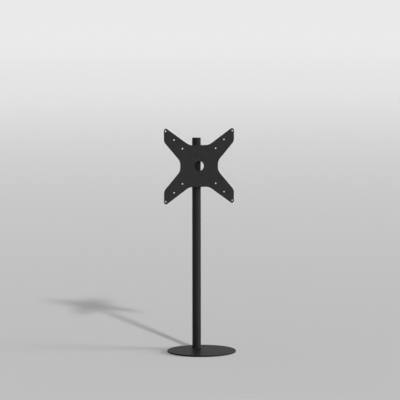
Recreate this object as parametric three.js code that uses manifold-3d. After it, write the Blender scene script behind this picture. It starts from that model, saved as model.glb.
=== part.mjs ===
// A floor stand for a television. A round steel foot carries a tubular pole, set back from the foot's
// centre. An X-shaped screen plate hangs on two bushed guides that swivel round the pole, and a collar
// with a hand knob holds them at any height.
// Millimetres, +Z up. The origin is the centre of the foot on the floor, and the screen side faces -Y.

import * as THREE from 'three';
import { mergeVertices } from 'three/addons/utils/BufferGeometryUtils.js';
import Module from 'manifold-3d';

// Fits
const CLEARANCE = 0.3; // round pieces that seat in or turn on each other
const OVERRUN = 2; // how far a cutting shape reaches past what it cuts

// Foot plate
const FOOT_DIAMETER = 390;
const FOOT_THICKNESS = 8;
const FOOT_RIM_CHAMFER = 1;

// Floor pads under the foot plate
const PAD_DIAMETER = 30;
const PAD_THICKNESS = 1.5;
const PAD_RIM_DISTANCE = 12; // from the pad's edge to the rim
const PAD_COUNT = 6;
const PAD_TURN_SHARE = 0.5; // of the step between two pads

// Pole
const POLE_SETBACK = 93; // the pole's axis behind the foot's centre
const POLE_DIAMETER = 50;
const POLE_WALL = 2;
const POLE_LENGTH = 1210;
const CABLE_SLOT_WIDTH = 14; // narrower than the brake shoe, which passes over it
const UPPER_SLOT_LENGTH = 60;
const UPPER_SLOT_DROP = 320; // centre of the slot below the pole's top
const LOWER_SLOT_LENGTH = 44;
const LOWER_SLOT_HEIGHT = 54; // centre of the slot above the foot plate

// Rubber grommet in the lower cable slot
const GROMMET_FLANGE = 4; // how far its lips reach past the slot
const GROMMET_LIP = 1.5;
const GROMMET_SLEEVE = 1.8;

// Cap in the top of the pole
const CAP_FLANGE = 2;
const CAP_CHAMFER = 0.6;
const CAP_SPIGOT = 15;
const CAP_WALL = 2.5;
const CAP_RIB_DEPTH = 0.5;
const CAP_RIB_COUNT = 2;

// Threaded plug in the bottom of the pole, and its screws through the foot plate
const PLUG_HEIGHT = 16;
const FOOT_SCREW_COUNT = 3;
const FOOT_SCREW_TURN_SHARE = 0.25; // of the step between two screws
const FOOT_SCREW_CIRCLE = 28; // diameter
const FOOT_SCREW_DIAMETER = 8;
const FOOT_SCREW_HEAD = 16;
const FOOT_SCREW_LENGTH = 20;
const FOOT_SCREW_KEY = 5;
const FOOT_SCREW_KEY_DEPTH = 3;

// Screen plate, measured from its own centre
const PLATE_DROP = 158.5; // its centre below the pole's top
const PLATE_STANDOFF = 51; // from the pole's axis to its front face
const PLATE_THICKNESS = 3;
const PLATE_SIDE_MARGIN = 10; // from the outermost holes' centres to the side of an arm
const PLATE_ARM_MARGIN = 15.4; // from the outermost holes' centres to the edge of an arm at the notch
const PLATE_TIP_RADIUS = 12;
const PLATE_SHOULDER_DROP = 61; // from the outermost holes' centres to the corner on the waist's side
const PLATE_SHOULDER_RADIUS = 42;
const PLATE_WAIST_HALF_WIDTH = 113;
const PLATE_WAIST_CORNER = 28;
const PLATE_WAIST_RADIUS = 56;
const PLATE_NOTCH_HALF_HEIGHT = 119.5;
const PLATE_NOTCH_CORNER = 59;
const PLATE_NOTCH_RADIUS = 62;
const PLATE_CENTRE_HOLE = 56;
const SCREEN_HOLE_DIAMETER = 8.5;
const SCREEN_HOLE_SPACINGS = [200, 300, 400];

// Guides that carry the screen plate on the pole
const GUIDE_SPREAD = 116; // between the middles of the two guides
const GUIDE_HEIGHT = 34;
const GUIDE_RING_WALL = 6.5;
const GUIDE_SPLIT = 3; // gap between its two halves
const GUIDE_FOOT_HALF_WIDTH = 26;
const SADDLE_EAR_THICKNESS = 18;
const CAP_EAR_THICKNESS = 9;
const EAR_MARGIN = 1.2; // metal beyond the washer
const EAR_CORNER_RADIUS = 4;
const FOOT_CORNER_RADIUS = 3;

// Nylon bush in each guide
const BUSH_WALL = 2.2;
const BUSH_FLANGE = 1.5;
const BUSH_FLANGE_REACH = 3.5;
const BUSH_SLIT = 3;

// Screws that close the guides, and their washers
const CLAMP_SCREW_DIAMETER = 6;
const CLAMP_SCREW_HEAD = 10;
const CLAMP_SCREW_HEAD_HEIGHT = 6;
const CLAMP_SCREW_LENGTH = 25;
const CLAMP_SCREW_KEY = 5;
const CLAMP_SCREW_KEY_DEPTH = 3;
const CLAMP_SCREW_WALL = 4.5; // metal between the bore and the screw
const WASHER_DIAMETER = 12;
const WASHER_THICKNESS = 1.6;

// Countersunk screws that hold the screen plate on the guides
const PLATE_SCREW_SPREAD = 30;
const PLATE_SCREW_DIAMETER = 6;
const PLATE_SCREW_HEAD = 11.4;
const PLATE_SCREW_LENGTH = 16;
const PLATE_SCREW_KEY = 4;
const PLATE_SCREW_KEY_DEPTH = 2;

// Height collar under the lower guide
const COLLAR_HEIGHT = 28;
const COLLAR_WALL = 10;
const COLLAR_CHAMFER = 1.5;
const BOSS_REACH = 21; // from the pole's surface to the boss's end

// Brake shoe inside the collar, pressed on the pole by the knob
const SHOE_DIAMETER = 20;
const SHOE_LENGTH = 7;
const SHOE_SOCKET_DEPTH = 3;
const SHOE_TRAVEL = 2.5;

// Hand knob and its stud
const STUD_DIAMETER = 8;
const KNOB_DIAMETER = 36;
const KNOB_THICKNESS = 14;
const KNOB_LOBES = 6;
const KNOB_LOBE_DEPTH = 2.4;
const KNOB_HUB_DIAMETER = 15;
const KNOB_HUB_LENGTH = 4;
const KNOB_GAP = 1.5; // between the hub and the boss with the knob tight
const STUD_IN_KNOB = 12;

// Facets
const ROUND_SEGMENTS = 48;
const FOOT_SEGMENTS = 96;
const SMALL_SEGMENTS = 16;
const OUTLINE_SEGMENTS = 4;
const KNOB_OUTLINE_POINTS = 60;
const CENTRE_HOLE_ARCS = 6;
const SCREEN_HOLE_ARCS = 2;
const MERGE_TOLERANCE = 1e-4;
const HEX_SIDES = 6;

const poleRadius = POLE_DIAMETER / 2;
const poleBore = poleRadius - POLE_WALL;
const footTop = PAD_THICKNESS + FOOT_THICKNESS;
const poleTop = footTop + POLE_LENGTH;
const runningRadius = poleRadius + CLEARANCE; // bore of whatever slides or turns on the pole

const wasm = await Module();
wasm.setup();

// A closed three.js geometry as a solid that can be cut and joined.
function toSolid(geometry) {
  const source = geometry.index ? geometry.toNonIndexed() : geometry;
  const bare = new THREE.BufferGeometry().setAttribute('position', source.getAttribute('position'));
  const merged = mergeVertices(bare, MERGE_TOLERANCE);
  return new wasm.Manifold(
    new wasm.Mesh({
      numProp: 3,
      vertProperties: new Float32Array(merged.getAttribute('position').array),
      triVerts: new Uint32Array(merged.index.array),
    }),
  );
}

function toGeometry(solid) {
  const mesh = solid.getMesh();
  const indexed = new THREE.BufferGeometry()
    .setAttribute('position', new THREE.BufferAttribute(new Float32Array(mesh.vertProperties), 3))
    .setIndex(new THREE.BufferAttribute(new Uint32Array(mesh.triVerts), 1));
  const flat = indexed.toNonIndexed();
  flat.computeVertexNormals();
  return flat;
}

function join(...geometries) {
  return toGeometry(geometries.map(toSolid).reduce((a, b) => a.add(b)));
}

function cut(geometry, ...tools) {
  return toGeometry(tools.map(toSolid).reduce((a, b) => a.subtract(b), toSolid(geometry)));
}

function overlap(a, b) {
  return toGeometry(toSolid(a).intersect(toSolid(b)));
}

// A solid of revolution about Z from [radius, height] pairs, anticlockwise with the radius to the right.
function turned(profile, segments = ROUND_SEGMENTS) {
  const points = profile.map(([radius, height]) => new THREE.Vector2(radius, height));
  return new THREE.LatheGeometry(points, segments).rotateX(Math.PI / 2);
}

function rod(radius, low, high, segments = ROUND_SEGMENTS) {
  return turned([[0, low], [radius, low], [radius, high], [0, high]], segments);
}

function tube(inner, outer, low, high, segments = ROUND_SEGMENTS) {
  return turned([[inner, low], [outer, low], [outer, high], [inner, high], [inner, low]], segments);
}

function block(xLow, xHigh, yLow, yHigh, zLow, zHigh) {
  return new THREE.BoxGeometry(xHigh - xLow, yHigh - yLow, zHigh - zLow).translate(
    (xLow + xHigh) / 2,
    (yLow + yHigh) / 2,
    (zLow + zHigh) / 2,
  );
}

// Turns a geometry made along +Z so that it lies along +Y or -Y.
const alongPlusY = (geometry) => geometry.rotateX(-Math.PI / 2);
const alongMinusY = (geometry) => geometry.rotateX(Math.PI / 2);

// A shape whose corners, given as [x, y, radius], are rounded as far as its edges allow.
function roundedShape(corners) {
  const shape = new THREE.Shape();
  const count = corners.length;
  corners.forEach(([x, y, wanted], i) => {
    const here = new THREE.Vector2(x, y);
    const before = new THREE.Vector2(...corners[(i + count - 1) % count].slice(0, 2)).sub(here);
    const after = new THREE.Vector2(...corners[(i + 1) % count].slice(0, 2)).sub(here);
    const room = Math.min(before.length(), after.length()) / 2;
    before.normalize();
    after.normalize();
    const half = Math.acos(THREE.MathUtils.clamp(before.dot(after), -1, 1)) / 2;
    const radius = Math.min(wanted, room * Math.tan(half));
    const reach = radius / Math.tan(half);
    const centre = before.clone().add(after).normalize().multiplyScalar(radius / Math.sin(half)).add(here);
    const start = before.clone().multiplyScalar(reach).add(here).sub(centre);
    const end = after.clone().multiplyScalar(reach).add(here).sub(centre);
    const clockwise = before.cross(after) > 0;
    shape.absarc(centre.x, centre.y, radius, start.angle(), end.angle(), clockwise);
  });
  shape.closePath();
  return shape;
}

// A round hole drawn as the given number of arcs, which sets how many facets it gets.
function roundHole(x, y, radius, arcs) {
  const path = new THREE.Path();
  const step = (2 * Math.PI) / arcs;
  for (let i = 0; i < arcs; i++) path.absarc(x, y, radius, i * step, (i + 1) * step, false);
  return path;
}

function extruded(shape, low, high, segments = OUTLINE_SEGMENTS) {
  const options = { depth: high - low, bevelEnabled: false, curveSegments: segments };
  return new THREE.ExtrudeGeometry(shape, options).translate(0, 0, low);
}

// The same, for a shape drawn in X and Z and extruded along Y.
function extrudedAlongY(shape, low, high, segments = OUTLINE_SEGMENTS) {
  return alongMinusY(extruded(shape, 0, high - low, segments)).translate(0, high, 0);
}

function roundedBlock(xHalf, yLow, yHigh, zLow, zHigh, radius) {
  const corners = [[-xHalf, yLow], [xHalf, yLow], [xHalf, yHigh], [-xHalf, yHigh]];
  return extruded(roundedShape(corners.map(([x, y]) => [x, y, radius])), zLow, zHigh);
}

// A slot with round ends, upright in X and Z.
function uprightSlot(width, length, centre) {
  const end = width / 2;
  const side = length / 2;
  const corners = [[-end, -side], [end, -side], [end, side], [-end, side]];
  return roundedShape(corners.map(([x, z]) => [x, z + centre, end]));
}

// Screws stand on Z with the head's seat or face at zero and the shank towards +Z.
function hexRecess(key, low, high) {
  return rod(key / Math.sqrt(3), low, high, HEX_SIDES);
}

function countersunkScrew(diameter, head, length, key, keyDepth) {
  const shank = diameter / 2;
  const cone = (head - diameter) / 2;
  const body = turned([[0, 0], [head / 2, 0], [shank, cone], [shank, length], [0, length]], SMALL_SEGMENTS);
  return cut(body, hexRecess(key, -OVERRUN, keyDepth));
}

// The hole that such a screw sits in, from its face through to the given depth.
function countersunkHole(diameter, head, depth) {
  const shank = diameter / 2 + CLEARANCE;
  const face = head / 2 + CLEARANCE;
  return turned(
    [[0, -OVERRUN], [face + OVERRUN, -OVERRUN], [shank, face - shank], [shank, depth], [0, depth]],
    SMALL_SEGMENTS,
  );
}

function socketScrew(diameter, head, headHeight, length, key, keyDepth) {
  const shank = diameter / 2;
  const body = turned(
    [[0, -headHeight], [head / 2, -headHeight], [head / 2, 0], [shank, 0], [shank, length], [0, length]],
    SMALL_SEGMENTS,
  );
  return cut(body, hexRecess(key, -headHeight - OVERRUN, keyDepth - headHeight));
}

const powderCoat = new THREE.MeshStandardMaterial({ color: 0x2a2a2b, roughness: 0.55, metalness: 0 });
const castCoat = new THREE.MeshStandardMaterial({ color: 0x262627, roughness: 0.5, metalness: 0 });
const blackSteel = new THREE.MeshStandardMaterial({ color: 0x1b1b1c, roughness: 0.38, metalness: 0.85 });
const zincSteel = new THREE.MeshStandardMaterial({ color: 0x9a9b9c, roughness: 0.4, metalness: 0.9 });
const blackPlastic = new THREE.MeshStandardMaterial({ color: 0x1d1d1e, roughness: 0.5, metalness: 0 });
const nylon = new THREE.MeshStandardMaterial({ color: 0x3a3a3c, roughness: 0.6, metalness: 0 });
const rubber = new THREE.MeshStandardMaterial({ color: 0x151515, roughness: 0.85, metalness: 0 });
const felt = new THREE.MeshStandardMaterial({ color: 0x2d2c2b, roughness: 0.95, metalness: 0 });

function piece(name, geometry, material, x = 0, y = 0, z = 0) {
  const mesh = new THREE.Mesh(geometry, material);
  mesh.name = name;
  mesh.position.set(x, y, z);
  return mesh;
}

// Places on a circle about Z, the first one turned by the given share of a step.
function onCircle(count, radius, turn) {
  return Array.from({ length: count }, (_, i) => {
    const angle = ((i + turn) / count) * 2 * Math.PI;
    return [radius * Math.cos(angle), radius * Math.sin(angle)];
  });
}

// The foot plate, lying on its pads, with three countersunk holes under the pole.
const footScrewPlaces = onCircle(FOOT_SCREW_COUNT, FOOT_SCREW_CIRCLE / 2, FOOT_SCREW_TURN_SHARE);

function footPlate() {
  const rim = FOOT_DIAMETER / 2;
  const disc = turned(
    [
      [0, 0],
      [rim - FOOT_RIM_CHAMFER, 0],
      [rim, FOOT_RIM_CHAMFER],
      [rim, FOOT_THICKNESS - FOOT_RIM_CHAMFER],
      [rim - FOOT_RIM_CHAMFER, FOOT_THICKNESS],
      [0, FOOT_THICKNESS],
    ],
    FOOT_SEGMENTS,
  );
  const holes = footScrewPlaces.map(([x, y]) => {
    const hole = countersunkHole(FOOT_SCREW_DIAMETER, FOOT_SCREW_HEAD, FOOT_THICKNESS + OVERRUN);
    return hole.translate(x, y + POLE_SETBACK, 0);
  });
  return cut(disc, ...holes);
}

function footGroup() {
  const group = new THREE.Group();
  group.add(piece('base_plate', footPlate(), powderCoat, 0, 0, PAD_THICKNESS));
  const padCircle = FOOT_DIAMETER / 2 - PAD_RIM_DISTANCE - PAD_DIAMETER / 2;
  onCircle(PAD_COUNT, padCircle, PAD_TURN_SHARE).forEach(([x, y], i) => {
    const pad = rod(PAD_DIAMETER / 2, 0, PAD_THICKNESS, SMALL_SEGMENTS);
    group.add(piece(`floor_pad_${i + 1}`, pad, felt, x, y));
  });
  return group;
}

// The pole, with a cable slot at the back under the mount and another just above the foot.
function poleTube() {
  const wall = tube(poleBore, poleRadius, footTop, poleTop);
  const slots = [
    [UPPER_SLOT_LENGTH, poleTop - UPPER_SLOT_DROP],
    [LOWER_SLOT_LENGTH, footTop + LOWER_SLOT_HEIGHT],
  ];
  const tools = slots.map(([length, centre]) =>
    extrudedAlongY(uprightSlot(CABLE_SLOT_WIDTH, length, centre), 0, poleRadius + OVERRUN),
  );
  return cut(wall, ...tools);
}

// Two lips, inside and outside the wall, joined by a sleeve through the slot.
function cableGrommet() {
  const centre = footTop + LOWER_SLOT_HEIGHT;
  const reach = poleRadius + CLEARANCE + GROMMET_LIP;
  const slotPrism = (grow) =>
    extrudedAlongY(
      uprightSlot(CABLE_SLOT_WIDTH + 2 * grow, LOWER_SLOT_LENGTH + 2 * grow, centre),
      0,
      reach + OVERRUN,
    );
  const low = centre - LOWER_SLOT_LENGTH / 2 - GROMMET_FLANGE - OVERRUN;
  const high = centre + LOWER_SLOT_LENGTH / 2 + GROMMET_FLANGE + OVERRUN;
  const innerFace = poleBore - CLEARANCE;
  const outerFace = poleRadius + CLEARANCE;
  const outerLip = overlap(slotPrism(GROMMET_FLANGE), tube(outerFace, reach, low, high));
  const innerLip = overlap(slotPrism(GROMMET_FLANGE), tube(innerFace - GROMMET_LIP, innerFace, low, high));
  const sleeve = overlap(slotPrism(-CLEARANCE), tube(innerFace - GROMMET_LIP, reach, low, high));
  return cut(join(outerLip, innerLip, sleeve), slotPrism(-CLEARANCE - GROMMET_SLEEVE));
}

// The cap's spigot has ribs that grip the pole's bore.
function poleCap() {
  const grip = poleBore - CLEARANCE;
  const body = grip - CAP_RIB_DEPTH;
  const ribPitch = CAP_SPIGOT / (CAP_RIB_COUNT + 1);
  const ribs = Array.from({ length: CAP_RIB_COUNT }, (_, i) => {
    const height = -CAP_SPIGOT + (i + 1) * ribPitch;
    return [[body, height - CAP_RIB_DEPTH], [grip, height], [body, height + CAP_RIB_DEPTH]];
  });
  return turned([
    [0, CAP_FLANGE - CAP_WALL],
    [body - CAP_WALL, CAP_FLANGE - CAP_WALL],
    [body - CAP_WALL, -CAP_SPIGOT],
    [body, -CAP_SPIGOT],
    ...ribs.flat(),
    [body, 0],
    [poleRadius, 0],
    [poleRadius, CAP_FLANGE - CAP_CHAMFER],
    [poleRadius - CAP_CHAMFER, CAP_FLANGE],
    [0, CAP_FLANGE],
  ]);
}

function footPlug() {
  const plug = rod(poleBore - CLEARANCE, 0, PLUG_HEIGHT);
  const holes = footScrewPlaces.map(([x, y]) => {
    const radius = FOOT_SCREW_DIAMETER / 2 + CLEARANCE;
    return rod(radius, -OVERRUN, PLUG_HEIGHT + OVERRUN, SMALL_SEGMENTS).translate(x, y, 0);
  });
  return cut(plug, ...holes);
}

function poleGroup() {
  const group = new THREE.Group();
  group.position.y = POLE_SETBACK;
  group.add(piece('pole', poleTube(), powderCoat));
  group.add(piece('pole_cap', poleCap(), blackPlastic, 0, 0, poleTop));
  group.add(piece('cable_grommet', cableGrommet(), rubber));
  group.add(piece('foot_plug', footPlug(), zincSteel, 0, 0, footTop));
  footScrewPlaces.forEach(([x, y], i) => {
    const screw = countersunkScrew(
      FOOT_SCREW_DIAMETER,
      FOOT_SCREW_HEAD,
      FOOT_SCREW_LENGTH,
      FOOT_SCREW_KEY,
      FOOT_SCREW_KEY_DEPTH,
    );
    group.add(piece(`foot_screw_${i + 1}`, screw, blackSteel, x, y, PAD_THICKNESS));
  });
  return group;
}

// Sizes that both halves of a guide share
const bushOuter = runningRadius + BUSH_WALL;
const guideBore = bushOuter + CLEARANCE;
const guideRing = guideBore + GUIDE_RING_WALL;
const clampHole = CLAMP_SCREW_DIAMETER / 2 + CLEARANCE;
const clampScrewX = guideBore + CLAMP_SCREW_WALL + clampHole;
const earHalfWidth = clampScrewX + WASHER_DIAMETER / 2 + EAR_MARGIN;
const plateBack = PLATE_STANDOFF - PLATE_THICKNESS;
const clampSeat = GUIDE_SPLIT / 2 + CAP_EAR_THICKNESS; // where the washers lie
const clampScrewTip = clampSeat + WASHER_THICKNESS - CLAMP_SCREW_LENGTH;
const plateScrewTip = PLATE_SCREW_LENGTH - PLATE_STANDOFF;

// The front half of a guide: half a ring with two ears, on a foot that the screen plate is screwed to.
function guideSaddle() {
  const low = -GUIDE_HEIGHT / 2;
  const high = GUIDE_HEIGHT / 2;
  const earFront = -GUIDE_SPLIT / 2 - SADDLE_EAR_THICKNESS;
  const ears = roundedBlock(earHalfWidth, earFront, -earFront, low, high, EAR_CORNER_RADIUS);
  const foot = roundedBlock(GUIDE_FOOT_HALF_WIDTH, -plateBack, 0, low, high, FOOT_CORNER_RADIUS);
  const body = join(rod(guideRing, low, high), ears, foot);
  const reach = Math.max(earHalfWidth, guideRing) + OVERRUN;
  const rearHalf = block(-reach, reach, -GUIDE_SPLIT / 2, reach, low - OVERRUN, high + OVERRUN);
  const bore = rod(guideBore, low - OVERRUN, high + OVERRUN);
  const clampHoles = [-clampScrewX, clampScrewX].map((x) =>
    alongPlusY(rod(clampHole, clampScrewTip - CLEARANCE, OVERRUN, SMALL_SEGMENTS)).translate(x, 0, 0),
  );
  const plateHoles = [-PLATE_SCREW_SPREAD, PLATE_SCREW_SPREAD].map((spread) => {
    const radius = PLATE_SCREW_DIAMETER / 2 + CLEARANCE;
    const hole = rod(radius, -plateBack - OVERRUN, plateScrewTip + CLEARANCE, SMALL_SEGMENTS);
    return alongPlusY(hole).translate(spread / 2, 0, 0);
  });
  return cut(body, rearHalf, bore, ...clampHoles, ...plateHoles);
}

// The rear half: the other half of the ring, with ears under the screws' heads.
function guideCap() {
  const low = -GUIDE_HEIGHT / 2;
  const high = GUIDE_HEIGHT / 2;
  const ears = roundedBlock(earHalfWidth, -clampSeat, clampSeat, low, high, EAR_CORNER_RADIUS);
  const body = join(rod(guideRing, low, high), ears);
  const reach = Math.max(earHalfWidth, guideRing) + OVERRUN;
  const frontHalf = block(-reach, reach, -reach, GUIDE_SPLIT / 2, low - OVERRUN, high + OVERRUN);
  const bore = rod(guideBore, low - OVERRUN, high + OVERRUN);
  const clampHoles = [-clampScrewX, clampScrewX].map((x) =>
    alongPlusY(rod(clampHole, 0, clampSeat + OVERRUN, SMALL_SEGMENTS)).translate(x, 0, 0),
  );
  // Flat seats for the washers where the ring bulges into their way.
  const seats = [-clampScrewX, clampScrewX].map((x) => {
    const seat = rod(WASHER_DIAMETER / 2 + CLEARANCE, clampSeat, guideRing + OVERRUN, SMALL_SEGMENTS);
    return alongPlusY(seat).translate(x, 0, 0);
  });
  return cut(body, frontHalf, bore, ...clampHoles, ...seats);
}

// A flanged bush, slit down one side so that it can be sprung round the pole.
function guideBush() {
  const low = -GUIDE_HEIGHT / 2;
  const high = GUIDE_HEIGHT / 2;
  const flange = bushOuter + BUSH_FLANGE_REACH;
  const ring = turned([
    [runningRadius, low - BUSH_FLANGE],
    [flange, low - BUSH_FLANGE],
    [flange, low],
    [bushOuter, low],
    [bushOuter, high],
    [flange, high],
    [flange, high + BUSH_FLANGE],
    [runningRadius, high + BUSH_FLANGE],
    [runningRadius, low - BUSH_FLANGE],
  ]);
  const slit = block(
    0,
    flange + OVERRUN,
    -BUSH_SLIT / 2,
    BUSH_SLIT / 2,
    low - BUSH_FLANGE - OVERRUN,
    high + BUSH_FLANGE + OVERRUN,
  );
  return cut(ring, slit);
}

function guideGroup(name, height) {
  const group = new THREE.Group();
  group.position.z = height;
  group.add(piece(`${name}_guide_saddle`, guideSaddle(), castCoat));
  group.add(piece(`${name}_guide_cap`, guideCap(), castCoat));
  group.add(piece(`${name}_bush`, guideBush(), nylon));
  for (const [side, x] of [['left', -clampScrewX], ['right', clampScrewX]]) {
    const screw = alongMinusY(
      socketScrew(
        CLAMP_SCREW_DIAMETER,
        CLAMP_SCREW_HEAD,
        CLAMP_SCREW_HEAD_HEIGHT,
        CLAMP_SCREW_LENGTH,
        CLAMP_SCREW_KEY,
        CLAMP_SCREW_KEY_DEPTH,
      ),
    );
    group.add(piece(`${name}_clamp_screw_${side}`, screw, blackSteel, x, clampSeat + WASHER_THICKNESS));
    const washer = alongPlusY(tube(clampHole, WASHER_DIAMETER / 2, 0, WASHER_THICKNESS, SMALL_SEGMENTS));
    group.add(piece(`${name}_washer_${side}`, washer, blackSteel, x, clampSeat));
    const plateScrew = alongPlusY(
      countersunkScrew(
        PLATE_SCREW_DIAMETER,
        PLATE_SCREW_HEAD,
        PLATE_SCREW_LENGTH,
        PLATE_SCREW_KEY,
        PLATE_SCREW_KEY_DEPTH,
      ),
    );
    const plateScrewX = (Math.sign(x) * PLATE_SCREW_SPREAD) / 2;
    group.add(piece(`${name}_plate_screw_${side}`, plateScrew, blackSteel, plateScrewX, -PLATE_STANDOFF));
  }
  return group;
}

// The X-shaped plate. Each quarter of its outline has the same four corners, taken from the right-hand
// arm at the top and mirrored. The arm's edge at the notch passes the outermost hole at its margin.
function screenPlate() {
  const outermost = Math.max(...SCREEN_HOLE_SPACINGS) / 2;
  const side = outermost + PLATE_SIDE_MARGIN;
  const holeAcross = outermost - PLATE_NOTCH_CORNER;
  const holeUp = outermost - PLATE_NOTCH_HALF_HEIGHT;
  const lean = Math.atan2(holeUp, holeAcross) + Math.asin(PLATE_ARM_MARGIN / Math.hypot(holeAcross, holeUp));
  const apex = PLATE_NOTCH_HALF_HEIGHT + (side - PLATE_NOTCH_CORNER) * Math.tan(lean);
  const quarter = [
    [PLATE_WAIST_HALF_WIDTH, PLATE_WAIST_CORNER, PLATE_WAIST_RADIUS],
    [side, outermost - PLATE_SHOULDER_DROP, PLATE_SHOULDER_RADIUS],
    [side, apex, PLATE_TIP_RADIUS],
    [PLATE_NOTCH_CORNER, PLATE_NOTCH_HALF_HEIGHT, PLATE_NOTCH_RADIUS],
  ];
  const mirrored = (signX, signZ) => quarter.map(([x, z, radius]) => [signX * x, signZ * z, radius]);
  const outline = roundedShape([
    ...mirrored(1, 1),
    ...mirrored(-1, 1).reverse(),
    ...mirrored(-1, -1),
    ...mirrored(1, -1).reverse(),
  ]);
  outline.holes.push(roundHole(0, 0, PLATE_CENTRE_HOLE / 2, CENTRE_HOLE_ARCS));
  for (const spacing of SCREEN_HOLE_SPACINGS)
    for (const signX of [-1, 1])
      for (const signZ of [-1, 1]) {
        const x = (signX * spacing) / 2;
        const z = (signZ * spacing) / 2;
        outline.holes.push(roundHole(x, z, SCREEN_HOLE_DIAMETER / 2, SCREEN_HOLE_ARCS));
      }
  const plate = extrudedAlongY(outline, -PLATE_STANDOFF, -plateBack);
  const screwHoles = [-1, 1].flatMap((signX) =>
    [-1, 1].map((signZ) => {
      const hole = countersunkHole(PLATE_SCREW_DIAMETER, PLATE_SCREW_HEAD, PLATE_THICKNESS + OVERRUN);
      const x = (signX * PLATE_SCREW_SPREAD) / 2;
      return alongPlusY(hole).translate(x, -PLATE_STANDOFF, (signZ * GUIDE_SPREAD) / 2);
    }),
  );
  return cut(plate, ...screwHoles);
}

// Sizes that the collar, the shoe and the knob share, measured out from the pole's axis towards +Y
const shoeBack = runningRadius + SHOE_LENGTH;
const pocketEnd = shoeBack + SHOE_TRAVEL + CLEARANCE;
const bossEnd = poleRadius + BOSS_REACH;
const studTip = shoeBack - SHOE_SOCKET_DEPTH + CLEARANCE;
const hubFace = bossEnd + KNOB_GAP;
const knobFace = hubFace + KNOB_HUB_LENGTH;
const studEnd = hubFace + STUD_IN_KNOB;

// A ring round the pole with a boss at the back that the knob's stud is screwed through.
function heightCollar() {
  const outer = runningRadius + COLLAR_WALL;
  const half = COLLAR_HEIGHT / 2;
  const ring = turned([
    [runningRadius, -half],
    [outer - COLLAR_CHAMFER, -half],
    [outer, -half + COLLAR_CHAMFER],
    [outer, half - COLLAR_CHAMFER],
    [outer - COLLAR_CHAMFER, half],
    [runningRadius, half],
    [runningRadius, -half],
  ]);
  const bossProfile = [
    [0, runningRadius],
    [half, runningRadius],
    [half, bossEnd - COLLAR_CHAMFER],
    [half - COLLAR_CHAMFER, bossEnd],
    [0, bossEnd],
  ];
  const boss = alongPlusY(turned(bossProfile, ROUND_SEGMENTS / 2));
  const bore = rod(runningRadius, -half - OVERRUN, half + OVERRUN);
  const pocket = alongPlusY(rod(SHOE_DIAMETER / 2 + CLEARANCE, 0, pocketEnd, SMALL_SEGMENTS));
  const thread = alongPlusY(rod(STUD_DIAMETER / 2 + CLEARANCE, 0, bossEnd + OVERRUN, SMALL_SEGMENTS));
  return cut(join(ring, boss), bore, pocket, thread);
}

// Its face is hollowed to the pole, and the stud's tip turns in the socket in its back.
function brakeShoe() {
  const body = alongPlusY(rod(SHOE_DIAMETER / 2, 0, shoeBack, SMALL_SEGMENTS));
  const face = rod(runningRadius, -SHOE_DIAMETER, SHOE_DIAMETER);
  const socket = alongPlusY(
    rod(STUD_DIAMETER / 2 + CLEARANCE, shoeBack - SHOE_SOCKET_DEPTH, shoeBack + OVERRUN, SMALL_SEGMENTS),
  );
  return cut(body, face, socket);
}

function knobStud() {
  return alongPlusY(rod(STUD_DIAMETER / 2, studTip, studEnd, SMALL_SEGMENTS));
}

// A lobed grip on a round hub, moulded over the end of the stud.
function clampKnob() {
  const middle = (KNOB_DIAMETER - KNOB_LOBE_DEPTH) / 2;
  const outline = Array.from({ length: KNOB_OUTLINE_POINTS }, (_, i) => {
    const angle = (i / KNOB_OUTLINE_POINTS) * 2 * Math.PI;
    const radius = middle + (KNOB_LOBE_DEPTH / 2) * Math.cos(KNOB_LOBES * angle);
    return new THREE.Vector2(radius * Math.cos(angle), radius * Math.sin(angle));
  });
  const grip = extrudedAlongY(new THREE.Shape(outline), knobFace, knobFace + KNOB_THICKNESS);
  const hub = alongPlusY(rod(KNOB_HUB_DIAMETER / 2, hubFace, knobFace + OVERRUN, SMALL_SEGMENTS));
  const hole = alongPlusY(
    rod(STUD_DIAMETER / 2 + CLEARANCE, hubFace - OVERRUN, studEnd + CLEARANCE, SMALL_SEGMENTS),
  );
  return cut(join(grip, hub), hole);
}

function mountGroup() {
  const group = new THREE.Group();
  group.position.set(0, POLE_SETBACK, poleTop - PLATE_DROP);
  group.add(piece('screen_plate', screenPlate(), powderCoat));
  group.add(guideGroup('upper', GUIDE_SPREAD / 2), guideGroup('lower', -GUIDE_SPREAD / 2));
  const collar = new THREE.Group();
  collar.position.z = -(GUIDE_SPREAD + GUIDE_HEIGHT + COLLAR_HEIGHT) / 2 - BUSH_FLANGE - CLEARANCE;
  collar.add(piece('height_collar', heightCollar(), castCoat));
  collar.add(piece('brake_shoe', brakeShoe(), nylon));
  collar.add(piece('knob_stud', knobStud(), zincSteel));
  collar.add(piece('clamp_knob', clampKnob(), blackPlastic));
  group.add(collar);
  return group;
}

const stand = new THREE.Group();
stand.add(footGroup(), poleGroup(), mountGroup());

export default stand;
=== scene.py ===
import math

import bmesh
import bpy
from mathutils import Matrix, Vector


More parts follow.
